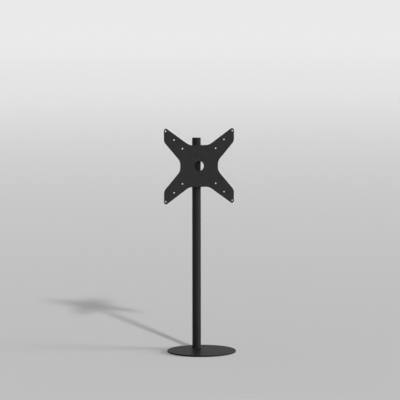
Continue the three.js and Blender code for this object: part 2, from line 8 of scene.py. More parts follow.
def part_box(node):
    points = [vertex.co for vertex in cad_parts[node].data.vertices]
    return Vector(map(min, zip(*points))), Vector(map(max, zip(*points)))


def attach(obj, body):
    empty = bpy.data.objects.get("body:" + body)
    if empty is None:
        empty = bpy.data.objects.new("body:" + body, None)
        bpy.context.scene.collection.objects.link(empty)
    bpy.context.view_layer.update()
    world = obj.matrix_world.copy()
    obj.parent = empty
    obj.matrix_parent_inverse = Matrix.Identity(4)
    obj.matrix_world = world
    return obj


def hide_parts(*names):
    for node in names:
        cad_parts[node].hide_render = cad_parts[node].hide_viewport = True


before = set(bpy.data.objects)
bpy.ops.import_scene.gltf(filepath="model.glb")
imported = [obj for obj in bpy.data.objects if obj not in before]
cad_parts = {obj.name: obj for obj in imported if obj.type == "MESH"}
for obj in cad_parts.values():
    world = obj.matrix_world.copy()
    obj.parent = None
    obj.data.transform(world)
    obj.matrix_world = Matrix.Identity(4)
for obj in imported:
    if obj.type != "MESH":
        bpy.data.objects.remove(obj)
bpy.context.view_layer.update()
scene = bpy.context.scene
scene.view_settings.view_transform = "Standard"

# Camera
# It stands in front of the stand and to its left, a little above the screen plate, and looks slightly
# down through a long lens. All lengths in this file are metres unless a comment says otherwise.
CAMERA_DISTANCE = 9.6375  # level distance from the pole's axis
CAMERA_HEIGHT = 1.5409
CAMERA_SIDE = math.radians(18.26)  # round the pole from its front
CAMERA_AIM = math.radians(0.12)  # past the pole's axis, to the right
CAMERA_DIP = math.radians(4.02)
CAMERA_ROLL = math.radians(-0.06)
CAMERA_LENS = 151.54  # millimetres
CAMERA_SENSOR = 36  # millimetres

pole_low, pole_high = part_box("pole")
pole_axis = Vector(((pole_low.x + pole_high.x) / 2, (pole_low.y + pole_high.y) / 2, 0))
stand_off = Vector((0, -CAMERA_DISTANCE, CAMERA_HEIGHT))

camera_data = bpy.data.cameras.new("camera")
camera_data.lens = CAMERA_LENS
camera_data.sensor_width = CAMERA_SENSOR
camera = bpy.data.objects.new("camera", camera_data)
camera.matrix_world = (
    Matrix.Translation(pole_axis + Matrix.Rotation(-CAMERA_SIDE, 3, "Z") @ stand_off)
    @ Matrix.Rotation(-CAMERA_SIDE - CAMERA_AIM, 4, "Z")
    @ Matrix.Rotation(math.pi / 2 - CAMERA_DIP, 4, "X")
    @ Matrix.Rotation(CAMERA_ROLL, 4, "Z")
)
scene.collection.objects.link(camera)
scene.camera = camera

# Floor and backdrop
# A plain pale studio floor. Its colour is painted lighter with distance: painted light, which makes the far
# floor brighter than the lamps alone would. It meets a pale horizon all round. A dimmer wall rises above the
# horizon behind the stand and to its right, the rest of the studio is dark, and a wide soft light hangs
# overhead.
FLOOR_RADIUS = 200
FLOOR_STEPS = 128
# Painted light: the floor's colour goes from the near grey to the lighter far grey with distance.
FLOOR_NEAR = (0.505, 0.505, 0.505, 1)
FLOOR_FAR = (0.755, 0.755, 0.755, 1)
FLOOR_PAINTED_LIGHT_LENGTH = 36  # over which the floor comes most of the way to its far colour
HORIZON_STOPS = (  # sine of the elevation, brightness
    (-0.005, 0.768),
    (0.004, 0.780),
    (0.011, 0.800),
    (0.018, 0.820),
    (0.025, 0.826),
    (0.130, 0.800),
)
DARK_STOPS = ((0.170, 0.020),)
WALL_STOPS = ((0.170, 0.450), (0.340, 0.450))
OVERHEAD_STOPS = ((0.500, 0.050), (0.700, 0.400))
WALL_TURN = math.radians(40)  # its middle, round the pole from straight behind it, to the right
WALL_NEAR = math.radians(45)  # from its middle out to where it starts to darken
WALL_FAR = math.radians(75)  # and to where it is dark


def add_node(tree, kind, inputs=None, **settings):
    """Adds a node, with its settings and with its inputs, each a value or the socket that feeds it."""
    made = tree.nodes.new(kind)
    for name, value in settings.items():
        setattr(made, name, value)
    for name, value in (inputs or {}).items():
        if isinstance(value, bpy.types.NodeSocket):
            tree.links.new(value, made.inputs[name])
        else:
            made.inputs[name].default_value = value
    return made


def computed(tree, operation, *values):
    """The result of a sum on values or sockets."""
    return add_node(tree, "ShaderNodeMath", dict(enumerate(values)), operation=operation).outputs[0]


def blended(tree, share, first, second):
    """A colour between two, by a share that varies over the surface."""
    inputs = {0: share, 6: first, 7: second}  # 6 and 7 are the mix node's two colours
    mix = add_node(tree, "ShaderNodeMix", inputs, data_type="RGBA")
    return mix.outputs[2]


def new_object(name, bm):
    """Puts a finished mesh into the scene, at the origin."""
    mesh = bpy.data.meshes.new(name)
    bm.to_mesh(mesh)
    bm.free()
    made = bpy.data.objects.new(name, mesh)
    scene.collection.objects.link(made)
    return made


bm = bmesh.new()
bmesh.ops.create_circle(bm, cap_ends=True, radius=FLOOR_RADIUS, segments=FLOOR_STEPS)
floor = new_object("floor", bm)
floor_paper = bpy.data.materials.new("floor_paper")
floor_paper.use_nodes = True
tree = floor_paper.node_tree
# Painted light: the floor's base colour is made lighter with distance from the stand.
place = add_node(tree, "ShaderNodeTexCoord").outputs["Object"]
away = add_node(tree, "ShaderNodeVectorMath", {0: place}, operation="LENGTH").outputs["Value"]
nearness = computed(tree, "EXPONENT", computed(tree, "DIVIDE", away, -FLOOR_PAINTED_LIGHT_LENGTH))
shader = tree.nodes["Principled BSDF"]
tree.links.new(blended(tree, nearness, FLOOR_FAR, FLOOR_NEAR), shader.inputs["Base Color"])
shader.inputs["Roughness"].default_value = 1
shader.inputs["Specular IOR Level"].default_value = 0
floor.data.materials.append(floor_paper)

world = bpy.data.worlds.new("studio")
world.use_nodes = True
scene.world = world
tree = world.node_tree
toward = add_node(tree, "ShaderNodeTexCoord").outputs["Generated"]
rise = add_node(tree, "ShaderNodeSeparateXYZ", {0: toward}).outputs["Z"]
level = computed(tree, "DIVIDE", computed(tree, "ADD", rise, 1), 2)  # 0 straight down, 1 straight up


def upright_ramp(stops):
    """A grey that changes with height, from stops of the sine of an elevation and a brightness."""
    ramp = add_node(tree, "ShaderNodeValToRGB", {0: level})
    marks = ramp.color_ramp.elements
    while len(marks) < len(stops):
        marks.new(1)
    for mark, (sine, brightness) in zip(marks, stops):
        mark.position = (sine + 1) / 2
        mark.color = (brightness, brightness, brightness, 1)
    return ramp.outputs["Color"]


wall_middle = (math.sin(WALL_TURN), math.cos(WALL_TURN), 0)
facing = add_node(tree, "ShaderNodeVectorMath", {0: toward, 1: wall_middle}, operation="DOT_PRODUCT")
wall_ends = {
    "Value": facing.outputs["Value"],
    "From Min": math.cos(WALL_FAR),
    "From Max": math.cos(WALL_NEAR),
}
wall_share = add_node(tree, "ShaderNodeMapRange", wall_ends, interpolation_type="SMOOTHSTEP")
dark_side = upright_ramp(HORIZON_STOPS + DARK_STOPS + OVERHEAD_STOPS)
wall_side = upright_ramp(HORIZON_STOPS + WALL_STOPS + OVERHEAD_STOPS)
studio = blended(tree, wall_share.outputs["Result"], dark_side, wall_side)
tree.links.new(studio, tree.nodes["Background"].inputs["Color"])

# Lamps
# A key light far in front of the screen plate, whose shadow runs straight back, and a wide soft light low
# on the right, which gives the pole its lighter side. Neither shows as a glare in a coat's gloss, which
# reflects only the studio.
KEY_STRENGTH = 2.6
KEY_WIDTH = math.radians(4)
KEY_TURN = math.radians(2.5)  # round the pole from its front, to the right
KEY_ELEVATION = math.radians(27)
SIDE_STRENGTH = 11
SIDE_WIDTH = math.radians(25)
SIDE_TURN = math.radians(66)
SIDE_ELEVATION = math.radians(4.3)


def add_lamp(name, strength, width, turn, elevation):
    """A lamp so far away that its light is parallel, as wide as the angle that it fills."""
    data = bpy.data.lights.new(name, "SUN")
    data.energy = strength
    data.angle = width
    lamp = bpy.data.objects.new(name, data)
    lamp.visible_glossy = False
    lamp.matrix_world = Matrix.Rotation(turn, 4, "Z") @ Matrix.Rotation(math.pi / 2 - elevation, 4, "X")
    scene.collection.objects.link(lamp)


add_lamp("key_lamp", KEY_STRENGTH, KEY_WIDTH, KEY_TURN, KEY_ELEVATION)
add_lamp("side_lamp", SIDE_STRENGTH, SIDE_WIDTH, SIDE_TURN, SIDE_ELEVATION)

# Foot plate
# A round steel disc, laser cut, with its rim broken all round and three countersunk holes under the pole.
# It is powder coated in a fine-textured satin black, lies on felt pads and is screwed to the pole's plug.
FOOT_STEPS = 256
FOOT_RIM_ROUND = 0.001
RIM_STEPS = 4
FOOT_SCREW_DIAMETER = 0.008
FOOT_SCREW_HEAD = 0.016
FIT = 0.0003  # clearance all round a piece that seats in another
OVERRUN = 0.002  # how far a cutting shape reaches past what it cuts
WELD = 1e-6  # points closer than this are one
HARD_ANGLE = math.radians(30)  # between two faces that meet at an edge and not on a round surface
EDGE_STEPS = 3
COUNTERSINK_STEPS = 64
SOFT_GRAIN_SHARE = 0.3  # of the fine grains in a metre
SOFT_GRAIN_DETAIL = 1
FINE_GRAIN_DETAIL = 3
DRIFT_SHARE = 0.02  # of the fine grains in a metre
FOOT_SCREW_NODES = ("foot_screw_1", "foot_screw_2", "foot_screw_3")
COAT_DARK = (0.0100, 0.0100, 0.0103, 1)
COAT_LIGHT = (0.0150, 0.0150, 0.0154, 1)
COAT_GRAIN = 1800  # grains in a metre
COAT_GRAIN_SOFT_SHARE = 0.35
COAT_GRAIN_HEIGHT = 0.00009
COAT_ROUGHNESS = (0.40, 0.48)
COAT_SPECULAR = 0.10


def placed(bm, *matrices):
    """Moves a solid by each matrix in turn."""
    for matrix in matrices:
        bmesh.ops.transform(bm, matrix=matrix, verts=bm.verts)
    return bm


def moved(x, y, z):
    """A shift, for placed."""
    return Matrix.Translation((x, y, z))


ALONG_PLUS_Y = Matrix.Rotation(-math.pi / 2, 4, "X")  # lays what stands on Z along +Y
ALONG_MINUS_Y = Matrix.Rotation(math.pi / 2, 4, "X")


def turned(profile, steps, closed=False):
    """A solid turned about Z from (radius, height) points, or a ring where the profile is closed."""
    bm = bmesh.new()
    points = [bm.verts.new((radius, 0, height)) for radius, height in profile]
    ends = points[1:] + points[:1] if closed else points[1:]
    lines = [bm.edges.new(pair) for pair in zip(points, ends)]
    bmesh.ops.spin(
        bm,
        geom=points + lines,
        cent=(0, 0, 0),
        axis=(0, 0, 1),
        angle=2 * math.pi,
        steps=steps,
        use_merge=True,
    )
    bmesh.ops.remove_doubles(bm, verts=bm.verts, dist=WELD)
    bmesh.ops.recalc_face_normals(bm, faces=bm.faces)
    return bm


def rod(radius, low, high, steps):
    """A plain round solid on Z between two heights."""
    return turned([(0, low), (radius, low), (radius, high), (0, high)], steps)


def hard_edges(bm):
    """The edges where two faces meet at an angle."""
    return [edge for edge in bm.edges if edge.is_manifold and edge.calc_face_angle() > HARD_ANGLE]


def rounded(bm, edges, size, steps=EDGE_STEPS):
    """Rounds the edges of a solid."""
    bmesh.ops.bevel(
        bm,
        geom=edges,
        offset=size,
        segments=steps,
        profile=0.5,
        affect="EDGES",
        material=-1,
        clamp_overlap=False,
    )
    return bm


def combined(bm, operation, *tools):
    """Cuts each tool out of a solid, joins it on or keeps what both share, as the operation says."""
    body = new_object("body", bm)
    used = [new_object("tool", tool) for tool in tools]
    for tool in used:
        step = body.modifiers.new("step", "BOOLEAN")
        step.operation = operation
        step.solver = "EXACT"
        step.object = tool
    result = bpy.data.meshes.new_from_object(body.evaluated_get(bpy.context.evaluated_depsgraph_get()))
    made = bmesh.new()
    made.from_mesh(result)
    bpy.data.meshes.remove(result)
    for spent in (body, *used):
        bpy.data.objects.remove(spent)
    return made


def countersink(diameter, head, depth):
    """The shape of the hole for a countersunk screw, from its face at zero up to the given depth."""
    shank = diameter / 2 + FIT
    face = head / 2 + FIT
    profile = [(0, -OVERRUN), (face + OVERRUN, -OVERRUN), (shank, face - shank), (shank, depth), (0, depth)]
    return turned(profile, COUNTERSINK_STEPS)


def grain_group():
    """Bumps of two sizes over the surface, and a slow drift from one part of it to another."""
    group = bpy.data.node_groups.new("surface_grain", "ShaderNodeTree")
    for name in ("Grains per metre", "Soft share"):
        group.interface.new_socket(name, in_out="INPUT", socket_type="NodeSocketFloat")
    for name in ("Height", "Drift"):
        group.interface.new_socket(name, in_out="OUTPUT", socket_type="NodeSocketFloat")
    given = group.nodes.new("NodeGroupInput")
    place = add_node(group, "ShaderNodeTexCoord").outputs["Object"]

    def noise(scale, detail):
        """A value that varies over the surface, about as many times in a metre as the scale says."""
        inputs = {"Vector": place, "Scale": scale, "Detail": detail}
        return add_node(group, "ShaderNodeTexNoise", inputs).outputs["Fac"]

    count = given.outputs["Grains per metre"]
    soft = noise(computed(group, "MULTIPLY", count, SOFT_GRAIN_SHARE), SOFT_GRAIN_DETAIL)
    fine = noise(count, FINE_GRAIN_DETAIL)
    drift = noise(computed(group, "MULTIPLY", count, DRIFT_SHARE), FINE_GRAIN_DETAIL)
    inputs = {0: given.outputs["Soft share"], 2: fine, 3: soft}  # 2 and 3 are the mix node's two numbers
    height = add_node(group, "ShaderNodeMix", inputs)
    result = group.nodes.new("NodeGroupOutput")
    group.links.new(height.outputs[0], result.inputs["Height"])
    group.links.new(drift, result.inputs["Drift"])
    return group


surface_grain = grain_group()


def finish(name, dark, light, roughness, grain, soft_share, height, **sockets):
    """A material whose colour and roughness drift over the surface, with a grain of the given height."""
    made = bpy.data.materials.new(name)
    made.use_nodes = True
    tree = made.node_tree
    shader = tree.nodes["Principled BSDF"]
    surface = tree.nodes.new("ShaderNodeGroup")
    surface.node_tree = surface_grain
    surface.inputs["Grains per metre"].default_value = grain
    surface.inputs["Soft share"].default_value = soft_share
    drift = surface.outputs["Drift"]
    smooth, rough = roughness
    spread = add_node(tree, "ShaderNodeMapRange", {"Value": drift, "To Min": smooth, "To Max": rough})
    bump = add_node(tree, "ShaderNodeBump", {"Height": surface.outputs["Height"], "Distance": height})
    tree.links.new(blended(tree, drift, dark, light), shader.inputs["Base Color"])
    tree.links.new(spread.outputs["Result"], shader.inputs["Roughness"])
    tree.links.new(bump.outputs["Normal"], shader.inputs["Normal"])
    for socket, value in sockets.items():
        shader.inputs[socket.replace("_", " ")].default_value = value
    return made


def fitted(name, bm, material, body, slot, *nodes):
    """Makes a finished piece that rides on a body and stands for the named nodes."""
    bmesh.ops.remove_doubles(bm, verts=bm.verts, dist=WELD)
    bmesh.ops.recalc_face_normals(bm, faces=bm.faces)
    piece = new_object(name, bm)
    piece.data.materials.append(material)
    piece.data.shade_smooth()
    piece.data.set_sharp_from_angle(angle=HARD_ANGLE)
    flats = piece.modifiers.new("flats", "WEIGHTED_NORMAL")
    flats.keep_sharp = True
    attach(piece, body)
    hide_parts(*nodes)
    return piece


def middle(node):
    """The middle of a node's box."""
    low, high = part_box(node)
    return (low + high) / 2


powder_coat = finish(
    "powder_coat",
    COAT_DARK,
    COAT_LIGHT,
    COAT_ROUGHNESS,
    COAT_GRAIN,
    COAT_GRAIN_SOFT_SHARE,
    COAT_GRAIN_HEIGHT,
    Specular_IOR_Level=COAT_SPECULAR,
)

foot_low, foot_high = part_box("base_plate")
foot_radius = (foot_high.x - foot_low.x) / 2
foot_thickness = foot_high.z - foot_low.z
disc = rod(foot_radius, 0, foot_thickness, FOOT_STEPS)
rounded(disc, hard_edges(disc), FOOT_RIM_ROUND, RIM_STEPS)
placed(disc, moved(0, 0, foot_low.z))
foot_holes = []
for node in FOOT_SCREW_NODES:
    centre = middle(node)
    hole = countersink(FOOT_SCREW_DIAMETER, FOOT_SCREW_HEAD, foot_thickness + OVERRUN)
    foot_holes.append(placed(hole, moved(centre.x, centre.y, foot_low.z)))
disc = combined(disc, "DIFFERENCE", *foot_holes)
fitted("foot_disc", disc, powder_coat, "stand", "powder_coat", "base_plate")

# Floor pads
# Six self-adhesive discs of dark grey wool felt, punched out and stuck under the foot plate near its rim.
# They carry the stand and keep its steel off the floor.
PAD_COUNT = 6
PAD_STEPS = 64
PAD_EDGE_ROUND = 0.0004
FELT_DARK = (0.020, 0.019, 0.018, 1)
FELT_LIGHT = (0.042, 0.040, 0.038, 1)
FELT_GRAIN = 4200
FELT_GRAIN_SOFT_SHARE = 0.25
FELT_GRAIN_HEIGHT = 0.00016
FELT_ROUGHNESS = (0.92, 1.0)
FELT_SHEEN = 0.4

felt = finish(
    "felt",
    FELT_DARK,
    FELT_LIGHT,
    FELT_ROUGHNESS,
    FELT_GRAIN,
    FELT_GRAIN_SOFT_SHARE,
    FELT_GRAIN_HEIGHT,
    Sheen_Weight=FELT_SHEEN,
)
for number in range(1, PAD_COUNT + 1):
    node = f"floor_pad_{number}"
    low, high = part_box(node)
    pad = rod((high.x - low.x) / 2, 0, high.z - low.z, PAD_STEPS)
    rounded(pad, hard_edges(pad), PAD_EDGE_ROUND)
    placed(pad, moved(middle(node).x, middle(node).y, low.z))
    fitted(f"felt_pad_{number}", pad, felt, "stand", "felt", node)

# Pole
# A straight steel tube, powder coated as the foot plate is, with a cable slot at the back under the mount
# and another just above the foot. The slots' edges are broken so that they don't cut the cables.
POLE_STEPS = 160
POLE_WALL = 0.002
POLE_EDGE_ROUND = 0.0003
POLE_MEND = 0.00002  # short edges that a cut leaves are closed up to this
SLOT_WIDTH = 0.014
SLOT_EDGE_ROUND = 0.0004
SLOT_STEPS = 16
UPPER_SLOT_LENGTH = 0.060
UPPER_SLOT_DROP = 0.320  # centre of the slot below the pole's top
LOWER_SLOT_LENGTH = 0.044
LOWER_SLOT_HEIGHT = 0.054  # centre of the slot above the foot plate


def arc(bm, start, centre, angle, steps):
    """Points along an arc in XY, from a new point at its start."""
    first = bm.verts.new(start)
    made = len(bm.verts)
    bmesh.ops.spin(bm, geom=[first], cent=centre, axis=(0, 0, 1), angle=angle, steps=steps)
    bm.verts.ensure_lookup_table()
    return [first, *bm.verts[made:]]


def outlined(corners, steps):
    """A flat face in XY whose corners, given anticlockwise as (x, y, radius), are rounded by arcs."""
    bm = bmesh.new()
    ring = []
    for i, (x, y, wanted) in enumerate(corners):
        here = Vector((x, y, 0))
        before = Vector((*corners[i - 1][:2], 0)) - here
        after = Vector((*corners[(i + 1) % len(corners)][:2], 0)) - here
        half = before.angle(after) / 2
        radius = min(wanted, min(before.length, after.length) / 2 * math.tan(half))
        start = here + before.normalized() * radius / math.tan(half)
        inward = (before.normalized() + after.normalized()).normalized()
        turn = math.copysign(math.pi - 2 * half, -before.cross(after).z)
        ring += arc(bm, start, here + inward * radius / math.sin(half), turn, steps)
    bm.faces.new(ring)
    bmesh.ops.remove_doubles(bm, verts=bm.verts, dist=WELD)
    return bm


def among(made, kind):
    """The points or the edges among what an operator made."""
    return [part for part in made if isinstance(part, kind)]


def raised(bm, low, high):
    """Raises a flat face in XY into a solid between two heights."""
    bmesh.ops.translate(bm, vec=(0, 0, low), verts=bm.verts)
    grown = bmesh.ops.extrude_face_region(bm, geom=bm.faces[:])["geom"]
    bmesh.ops.translate(bm, vec=(0, 0, high - low), verts=among(grown, bmesh.types.BMVert))
    bmesh.ops.recalc_face_normals(bm, faces=bm.faces)
    return bm


def slot_tool(width, length, centre, reach):
    """An upright slot with round ends, cut from the pole's axis out to the given reach."""
    end, side = width / 2, length / 2
    corners = [(-end, -side, end), (end, -side, end), (end, side, end), (-end, side, end)]
    return placed(raised(outlined(corners, SLOT_STEPS), -reach, 0), ALONG_MINUS_Y, moved(0, 0, centre))


pole_radius = (pole_high.x - pole_low.x) / 2
pole_bore = pole_radius - POLE_WALL
pole_profile = [
    (pole_bore, pole_low.z),
    (pole_radius, pole_low.z),
    (pole_radius, pole_high.z),
    (pole_bore, pole_high.z),
]
slots = (
    (UPPER_SLOT_LENGTH, pole_high.z - UPPER_SLOT_DROP),
    (LOWER_SLOT_LENGTH, pole_low.z + LOWER_SLOT_HEIGHT),
)
pipe = turned(pole_profile, POLE_STEPS, closed=True)
rounded(pipe, hard_edges(pipe), POLE_EDGE_ROUND)
tools = [slot_tool(SLOT_WIDTH, length, centre, pole_radius + OVERRUN) for length, centre in slots]
pipe = combined(pipe, "DIFFERENCE", *tools)
bmesh.ops.remove_doubles(pipe, verts=pipe.verts, dist=POLE_MEND)
slot_edges = [
    edge
    for edge in hard_edges(pipe)
    if all(pole_low.z + OVERRUN < point.co.z < pole_high.z - OVERRUN for point in edge.verts)
]
rounded(pipe, slot_edges, SLOT_EDGE_ROUND)
placed(pipe, Matrix.Translation(pole_axis))
fitted("pole_tube", pipe, powder_coat, "stand", "powder_coat", "pole")

# Pole cap
# A moulded plastic cap pressed into the pole's top. Two ribs round its hollow spigot grip the bore, and
# its flange lies flush with the pole.
CAP_STEPS = 128
CAP_FLANGE = 0.002
CAP_EDGE_ROUND = 0.0006
CAP_WALL = 0.0025
CAP_RIB_DEPTH = 0.0005
CAP_RIB_COUNT = 2
PLASTIC_DARK = (0.0070, 0.0070, 0.0073, 1)
PLASTIC_LIGHT = (0.0100, 0.0100, 0.0104, 1)
PLASTIC_GRAIN = 3000
PLASTIC_GRAIN_SOFT_SHARE = 0.2
PLASTIC_GRAIN_HEIGHT = 0.000012
PLASTIC_ROUGHNESS = (0.42, 0.52)
PLASTIC_SPECULAR = 0.45

black_plastic = finish(
    "black_plastic",
    PLASTIC_DARK,
    PLASTIC_LIGHT,
    PLASTIC_ROUGHNESS,
    PLASTIC_GRAIN,
    PLASTIC_GRAIN_SOFT_SHARE,
    PLASTIC_GRAIN_HEIGHT,
    Specular_IOR_Level=PLASTIC_SPECULAR,
)

cap_low, cap_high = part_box("pole_cap")
cap_grip = pole_bore - FIT
cap_body = cap_grip - CAP_RIB_DEPTH
cap_seat = cap_high.z - CAP_FLANGE
cap_spigot = cap_seat - cap_low.z
cap_profile = [
    (0, cap_high.z - CAP_WALL),
    (cap_body - CAP_WALL, cap_high.z - CAP_WALL),
    (cap_body - CAP_WALL, cap_low.z),
    (cap_body, cap_low.z),
]
for rib in range(CAP_RIB_COUNT):
    height = cap_low.z + (rib + 1) * cap_spigot / (CAP_RIB_COUNT + 1)
    cap_profile += [
        (cap_body, height - CAP_RIB_DEPTH),
        (cap_grip, height),
        (cap_body, height + CAP_RIB_DEPTH),
    ]
cap_profile += [(cap_body, cap_seat), (pole_radius, cap_seat), (pole_radius, cap_high.z), (0, cap_high.z)]
cap = turned(cap_profile, CAP_STEPS)
rim = [edge for edge in hard_edges(cap) if all(abs(point.co.z - cap_high.z) < WELD for point in edge.verts)]
rounded(cap, rim, CAP_EDGE_ROUND, RIM_STEPS)
placed(cap, Matrix.Translation(pole_axis))
fitted("pole_top_cap", cap, black_plastic, "stand", "black_plastic", "pole_cap")

# Cable grommet
# A moulded rubber ring sprung into the lower cable slot. Its lips grip the pole's wall inside and out, and
# the whole ring is bent to the round of the pole.
GROMMET_SLEEVE = 0.0018
GROMMET_LIP = 0.0015
GROMMET_EDGE_ROUND = 0.0005
GROMMET_STEPS = 24
GROMMET_CUTS = 3
GROMMET_WELD = 1e-5  # the ring's two ends meet within this
RUBBER_DARK = (0.0090, 0.0090, 0.0090, 1)
RUBBER_LIGHT = (0.0140, 0.0140, 0.0135, 1)
RUBBER_GRAIN = 2600
RUBBER_GRAIN_SOFT_SHARE = 0.4
RUBBER_GRAIN_HEIGHT = 0.00002
RUBBER_ROUGHNESS = (0.72, 0.86)

rubber = finish(
    "rubber",
    RUBBER_DARK,
    RUBBER_LIGHT,
    RUBBER_ROUGHNESS,
    RUBBER_GRAIN,
    RUBBER_GRAIN_SOFT_SHARE,
    RUBBER_GRAIN_HEIGHT,
)

grommet_low, grommet_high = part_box("cable_grommet")
lip_outer = pole_radius + FIT + GROMMET_LIP
lip_inner = pole_bore - FIT - GROMMET_LIP
lip_edge = pole_radius * math.asin(grommet_high.x / lip_outer)  # measured round the pole
sleeve_outer = SLOT_WIDTH / 2 - FIT
opening = sleeve_outer - GROMMET_SLEEVE
half_run = (LOWER_SLOT_LENGTH - SLOT_WIDTH) / 2
section = [
    (opening, lip_inner),
    (lip_edge, lip_inner),
    (lip_edge, pole_bore - FIT),
    (sleeve_outer, pole_bore - FIT),
    (sleeve_outer, pole_radius + FIT),
    (lip_edge, pole_radius + FIT),
    (lip_edge, lip_outer),
    (opening, lip_outer),
]
bm = bmesh.new()
points = [bm.verts.new((across, depth, -half_run)) for across, depth in section]
ring = [bm.edges.new(pair) for pair in zip(points, points[1:] + points[:1])]
for end in (half_run, -half_run):
    grown = bmesh.ops.extrude_edge_only(bm, edges=ring)["geom"]
    shifted = among(grown, bmesh.types.BMVert)
    bmesh.ops.translate(bm, vec=(0, 0, 2 * end), verts=shifted)
    grown_edges = among(grown, bmesh.types.BMEdge)
    last = shifted + [edge for edge in grown_edges if all(point in shifted for point in edge.verts)]
    swung = bmesh.ops.spin(
        bm,
        geom=last,
        cent=(0, 0, end),
        axis=(0, -1, 0),
        angle=math.pi,
        steps=GROMMET_STEPS,
    )["geom_last"]
    ring = among(swung, bmesh.types.BMEdge)
bmesh.ops.remove_doubles(bm, verts=bm.verts, dist=GROMMET_WELD)
bmesh.ops.recalc_face_normals(bm, faces=bm.faces)
rounded(bm, hard_edges(bm), GROMMET_EDGE_ROUND)
wide = [edge for edge in bm.edges if abs(edge.verts[0].co.x - edge.verts[1].co.x) > 2 * GROMMET_LIP]
bmesh.ops.subdivide_edges(bm, edges=wide, cuts=GROMMET_CUTS, use_grid_fill=True)
for point in bm.verts:
    turn = point.co.x / pole_radius
    point.co = (point.co.y * math.sin(turn), point.co.y * math.cos(turn), point.co.z)
placed(bm, moved(pole_axis.x, pole_axis.y, (grommet_low.z + grommet_high.z) / 2))
fitted("slot_grommet", bm, rubber, "stand", "rubber", "cable_grommet")

# Foot plug and its screws
# A zinc-plated steel plug welded into the pole's lower end, and three black countersunk socket screws that
# come up through the foot plate into its threads.
PLUG_STEPS = 96
PLUG_EDGE_ROUND = 0.0004
FOOT_SCREW_PITCH = 0.00125
FOOT_SCREW_KEY = 0.005
FOOT_SCREW_KEY_DEPTH = 0.003
SCREW_STEPS = 48
HOLE_STEPS = 48
THREAD_STEPS = 24
THREAD_SPARE_TURNS = 2  # wound below the low end and cut off again
THREAD_DEPTH_SHARE = 0.61  # of the pitch
THREAD_CREST_SHARE = 0.125  # of the pitch, as is the root's
THREAD_ROOT_SHARE = 0.25
HEX_SIDES = 6
KEY_POINT_SHARE = 0.3  # depth of the point under a key recess or a drilled hole, of its radius
HEAD_EDGE_ROUND = 0.0003
STEEL_DARK = (0.028, 0.028, 0.029, 1)
STEEL_LIGHT = (0.050, 0.050, 0.050, 1)
ZINC_DARK = (0.46, 0.46, 0.45, 1)
ZINC_LIGHT = (0.60, 0.60, 0.58, 1)
STEEL_GRAIN = 2400
STEEL_GRAIN_SOFT_SHARE = 0.5
STEEL_GRAIN_HEIGHT = 0.000006
STEEL_ROUGHNESS = (0.34, 0.46)
STEEL_METALLIC = 0.9  # under a thin black oxide
ZINC_GRAIN = 2000
ZINC_GRAIN_SOFT_SHARE = 0.6
ZINC_GRAIN_HEIGHT = 0.000005
ZINC_ROUGHNESS = (0.28, 0.42)

black_steel = finish(
    "black_steel",
    STEEL_DARK,
    STEEL_LIGHT,
    STEEL_ROUGHNESS,
    STEEL_GRAIN,
    STEEL_GRAIN_SOFT_SHARE,
    STEEL_GRAIN_HEIGHT,
    Metallic=STEEL_METALLIC,
)
zinc_steel = finish(
    "zinc_steel",
    ZINC_DARK,
    ZINC_LIGHT,
    ZINC_ROUGHNESS,
    ZINC_GRAIN,
    ZINC_GRAIN_SOFT_SHARE,
    ZINC_GRAIN_HEIGHT,
    Metallic=1,
)


def threaded(diameter, pitch, low, high):
    """A threaded rod on Z. One turn of the thread's outline is spun and climbs a pitch for each turn."""
    crest = diameter / 2
    root = crest - pitch * THREAD_DEPTH_SHARE
    flank = (1 - THREAD_CREST_SHARE - THREAD_ROOT_SHARE) / 2
    rises = (0, THREAD_ROOT_SHARE, THREAD_ROOT_SHARE + flank, 1 - flank, 1)
    radii = (root, root, crest, crest, root)
    turns = math.ceil((high - low) / pitch) + THREAD_SPARE_TURNS
    start = low - THREAD_SPARE_TURNS * pitch
    bm = bmesh.new()
    points = [bm.verts.new((radius, 0, start + rise * pitch)) for radius, rise in zip(radii, rises)]
    lines = [bm.edges.new(pair) for pair in zip(points, points[1:])]
    bmesh.ops.spin(
        bm,
        geom=points + lines,
        cent=(0, 0, 0),
        axis=(0, 0, 1),
        dvec=(0, 0, pitch / THREAD_STEPS),
        angle=2 * math.pi * turns,
        steps=THREAD_STEPS * turns,
    )
    bmesh.ops.remove_doubles(bm, verts=bm.verts, dist=WELD)
    for height, side in ((low, -1), (high, 1)):
        sliced = bmesh.ops.bisect_plane(
            bm,
            geom=bm.verts[:] + bm.edges[:] + bm.faces[:],
            plane_co=(0, 0, height),
            plane_no=(0, 0, side),
            clear_outer=True,
        )["geom_cut"]
        bmesh.ops.contextual_create(bm, geom=among(sliced, bmesh.types.BMEdge))
    for point in bm.verts:  # the ends are chamfered down to the root
        room = root + min(point.co.z - low, high - point.co.z)
        across = math.hypot(point.co.x, point.co.y)
        if across > room:
            point.co.x *= room / across
            point.co.y *= room / across
    bmesh.ops.recalc_face_normals(bm, faces=bm.faces)
    return bm


def key_recess(key, face, depth):
    """The shape of a hexagonal socket that goes down from a face at the given height towards +Z."""
    radius = key / math.sqrt(3)
    bottom = face + depth
    point = bottom + radius * KEY_POINT_SHARE
    return turned([(0, face - OVERRUN), (radius, face - OVERRUN), (radius, bottom), (0, point)], HEX_SIDES)


def countersunk_screw(diameter, head, length, pitch, key, key_depth):
    """A screw on Z with its face at zero and its thread towards +Z."""
    cone = (head - diameter) / 2
    core = diameter / 2 - pitch * THREAD_DEPTH_SHARE
    shank = cone + 2 * pitch
    body = turned(
        [
            (0, 0),
            (head / 2 - HEAD_EDGE_ROUND, 0),
            (head / 2, HEAD_EDGE_ROUND),
            (diameter / 2, cone),
            (core - FIT, cone + pitch / 2),
            (core - FIT, shank),
            (0, shank),
        ],
        SCREW_STEPS,
    )
    body = combined(body, "UNION", threaded(diameter, pitch, cone - pitch, length))
    return combined(body, "DIFFERENCE", key_recess(key, 0, key_depth))


